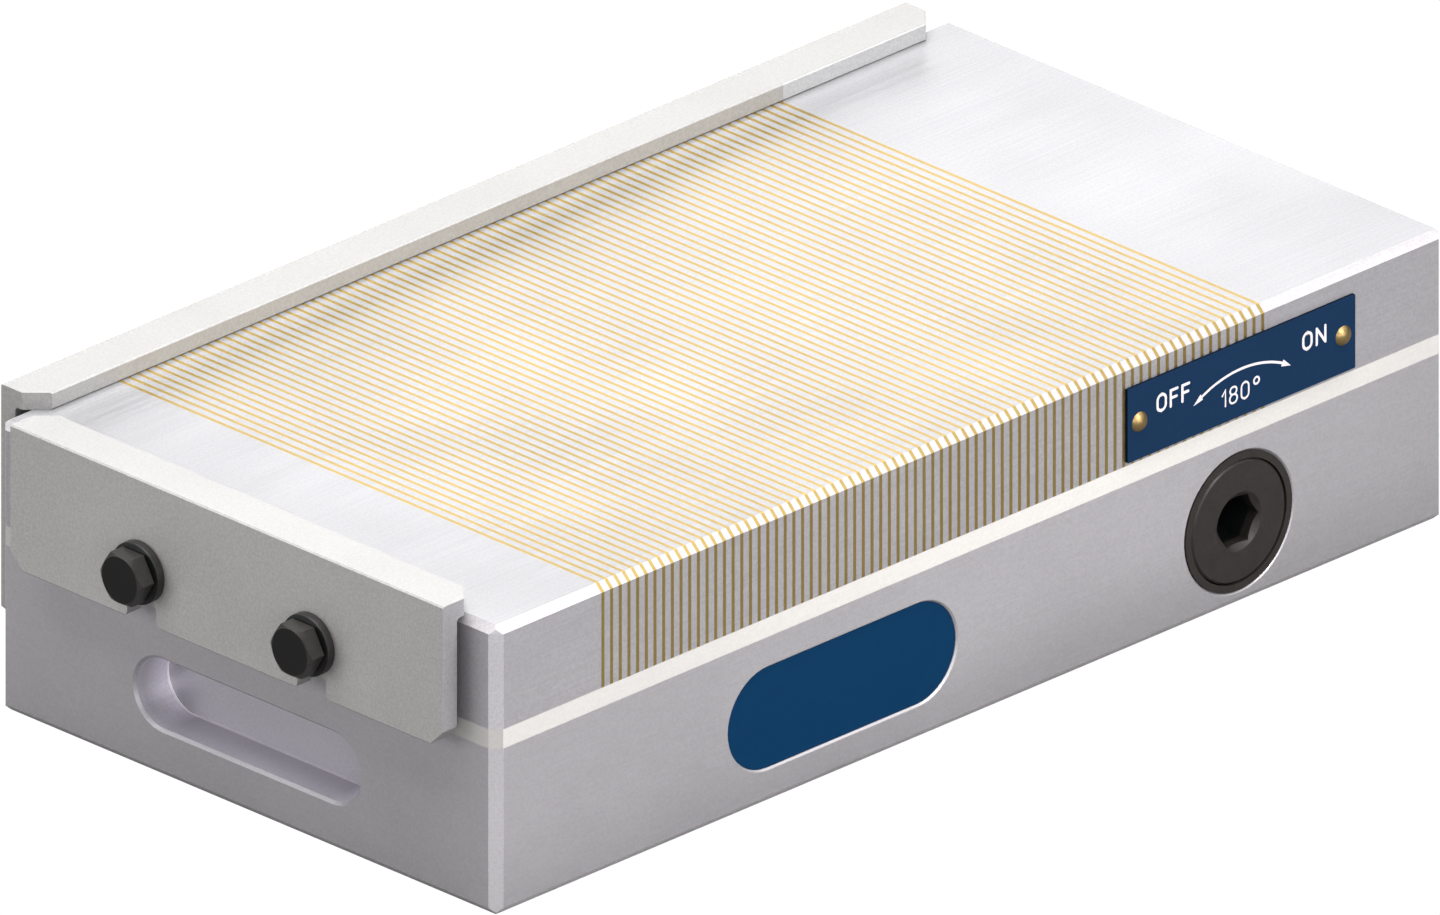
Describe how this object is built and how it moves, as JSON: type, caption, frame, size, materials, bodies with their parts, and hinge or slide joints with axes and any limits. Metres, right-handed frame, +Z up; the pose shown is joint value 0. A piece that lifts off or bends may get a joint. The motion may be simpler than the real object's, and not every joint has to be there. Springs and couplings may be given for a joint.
{
  "type": "magnetic chuck",
  "caption": "Flat rectangular magnetic chuck with a fine-pole top plate, a hexagon-key switch, clamp pockets in the ends and two bolted L stops over the edges.",
  "frame": {"origin": "middle of the base's flat underside", "axes": "+X along the length, away from the end stop; +Y away from the front face with the key socket, towards the side rail; +Z up, out of the work face"},
  "size_m": [0.2194, 0.1208, 0.053],
  "materials": {
    "machined_steel": "fine machined grey, satin",
    "band_metal": "pale non-magnetic steel, ground",
    "ground_steel": "bright ground",
    "brass": "ground flush with the steel",
    "black_oxide": "black oxide, satin",
    "stop_steel": "fine tumbled, satin",
    "bronze": "plain bearing bronze",
    "tray_aluminium": "milled",
    "magnet": "sintered, dark grey",
    "flux_steel": "ground",
    "slide_plastic": "low-friction white",
    "rubber": "moulded",
    "zinc_screw": "bright",
    "label_navy": "printed navy, satin",
    "badge_navy": "navy enamel, plain"
  },
  "bodies": {
    "chuck_body": {"base_body": "machined_steel", "spacer_frame": "band_metal", "pole_block_left": "ground_steel", "pole_block_right": "ground_steel", "steel_laminations": "ground_steel", "brass_laminations": "brass", "body_screws": "black_oxide", "front_bush": "black_oxide", "rear_bush": "bronze", "stop_pin": "zinc_screw", "slide_strips": "slide_plastic", "label_plate": "label_navy", "label_rivets": "brass", "badge_plate": "badge_navy", "end_stop_bolts": "black_oxide", "end_stop_washers": "black_oxide", "end_stop_spacers": "black_oxide", "side_rail_bolts": "black_oxide", "side_rail_washers": "black_oxide", "side_rail_spacers": "black_oxide"},
    "switch_shaft": {"actuator_shaft": "black_oxide", "eccentric_ring": "bronze", "shaft_circlip": "black_oxide", "shaft_oring": "rubber"},
    "magnet_pack": {"magnet_carriage": "tray_aluminium", "magnet_strips": "magnet", "flux_strips": "flux_steel", "drive_yoke": "machined_steel", "yoke_screws": "black_oxide"},
    "end_stop": {"end_stop": "stop_steel"},
    "side_rail": {"side_rail": "stop_steel"}
  },
  "joints": [
    {"name": "switch_turn", "type": "hinge", "parent": "chuck_body", "child": "switch_shaft", "pos_m": [0.0592, 0, 0.0145], "axis": [0, 1, 0], "range_deg": [0, 180]},
    {"name": "magnet_slide", "type": "slide", "parent": "chuck_body", "child": "magnet_pack", "axis": [1, 0, 0], "range_m": [0, 0.00096]},
    {"name": "end_stop_lift", "type": "slide", "parent": "chuck_body", "child": "end_stop", "axis": [0, 0, 1], "range_m": [0, 0.008]},
    {"name": "side_rail_lift", "type": "slide", "parent": "chuck_body", "child": "side_rail", "axis": [0, 0, 1], "range_m": [0, 0.008]}
  ],
  "couplings": [
    {"joint": "switch_turn", "follows": "magnet_slide", "rad_per_m": 3272.5}
  ]
}
